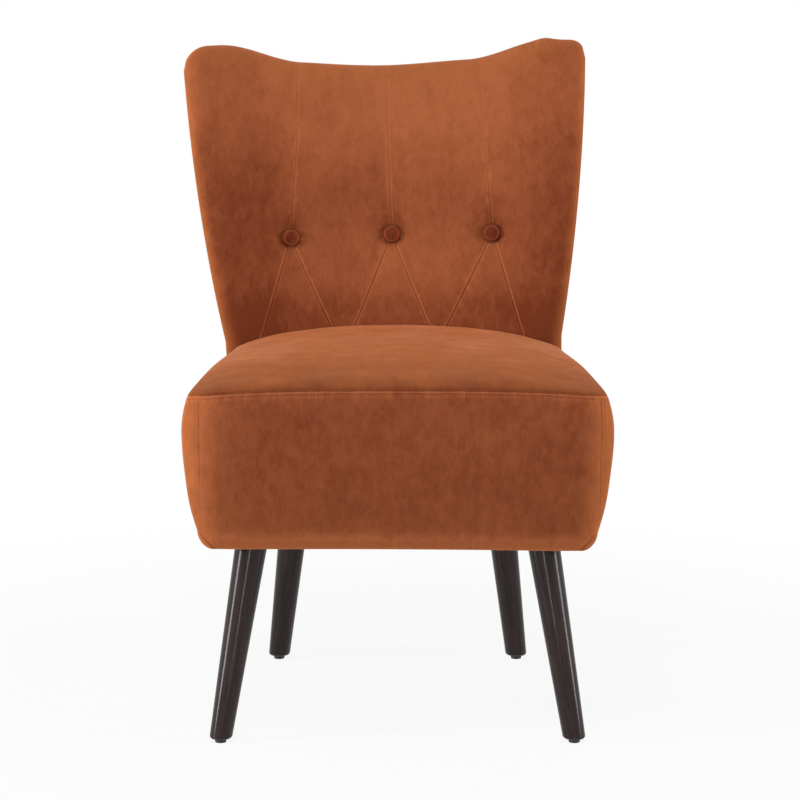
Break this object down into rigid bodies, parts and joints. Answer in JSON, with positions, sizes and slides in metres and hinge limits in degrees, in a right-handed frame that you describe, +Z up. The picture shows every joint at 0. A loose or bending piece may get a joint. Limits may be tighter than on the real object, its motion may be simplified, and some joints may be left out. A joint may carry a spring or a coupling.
{
  "type": "slipper chair",
  "caption": "Armless upholstered slipper chair with a curved button-tufted back, a crowned box seat and splayed tapered wooden legs.",
  "frame": {"origin": "floor level, under the middle of the chair's footprint", "axes": "+Z up; -Y is the front that the sitter faces; +X to the right as seen from the front"},
  "size_m": [0.566, 0.6362, 0.875],
  "materials": {
    "velvet": "rust velvet, soft nap",
    "stained_wood": "espresso stain, satin lacquer",
    "frame_wood": "sawn, unfinished",
    "foam": "polyurethane foam",
    "felt": "needled felt",
    "dust_cloth": "black spunbonded cloth",
    "webbing": "elastic webbing",
    "twine": "waxed twine",
    "zinc_steel": "zinc plated",
    "spring_steel": "oiled spring wire",
    "glide_plastic": "moulded nylon"
  },
  "bodies": {
    "root": {"right_side_rail": "frame_wood", "left_side_rail": "frame_wood", "right_front_corner_block": "frame_wood", "left_front_corner_block": "frame_wood", "right_rear_corner_block": "frame_wood", "left_rear_corner_block": "frame_wood", "right_back_post": "frame_wood", "left_back_post": "frame_wood", "right_back_bolt": "zinc_steel", "left_back_bolt": "zinc_steel", "right_front_leg": "stained_wood", "left_front_leg": "stained_wood", "right_front_hanger_bolt": "zinc_steel", "left_front_hanger_bolt": "zinc_steel", "right_front_leg_plate": "zinc_steel", "left_front_leg_plate": "zinc_steel", "right_front_glide": "glide_plastic", "left_front_glide": "glide_plastic", "right_rear_leg": "stained_wood", "left_rear_leg": "stained_wood", "right_rear_hanger_bolt": "zinc_steel", "left_rear_hanger_bolt": "zinc_steel", "right_rear_leg_plate": "zinc_steel", "left_rear_leg_plate": "zinc_steel", "right_rear_glide": "glide_plastic", "left_rear_glide": "glide_plastic", "left_outer_spring": "spring_steel", "left_outer_front_clip": "zinc_steel", "left_outer_rear_clip": "zinc_steel", "left_inner_spring": "spring_steel", "left_inner_front_clip": "zinc_steel", "left_inner_rear_clip": "zinc_steel", "right_inner_spring": "spring_steel", "right_inner_front_clip": "zinc_steel", "right_inner_rear_clip": "zinc_steel", "right_outer_spring": "spring_steel", "right_outer_front_clip": "zinc_steel", "right_outer_rear_clip": "zinc_steel", "left_button": "velvet", "left_tufting_twine": "twine", "left_webbing_strap": "webbing", "middle_button": "velvet", "middle_tufting_twine": "twine", "middle_webbing_strap": "webbing", "right_button": "velvet", "right_tufting_twine": "twine", "right_webbing_strap": "webbing", "seat_cover": "velvet", "inside_back_cover": "velvet", "outside_back_cover": "velvet", "seat_foam": "foam", "seat_edge_padding": "foam", "back_foam": "foam", "front_rail": "frame_wood", "rear_rail": "frame_wood", "crest_rail": "frame_wood", "lumbar_rail": "frame_wood", "insulator_pad": "felt", "dust_cover": "dust_cloth"}
  },
  "joints": []
}
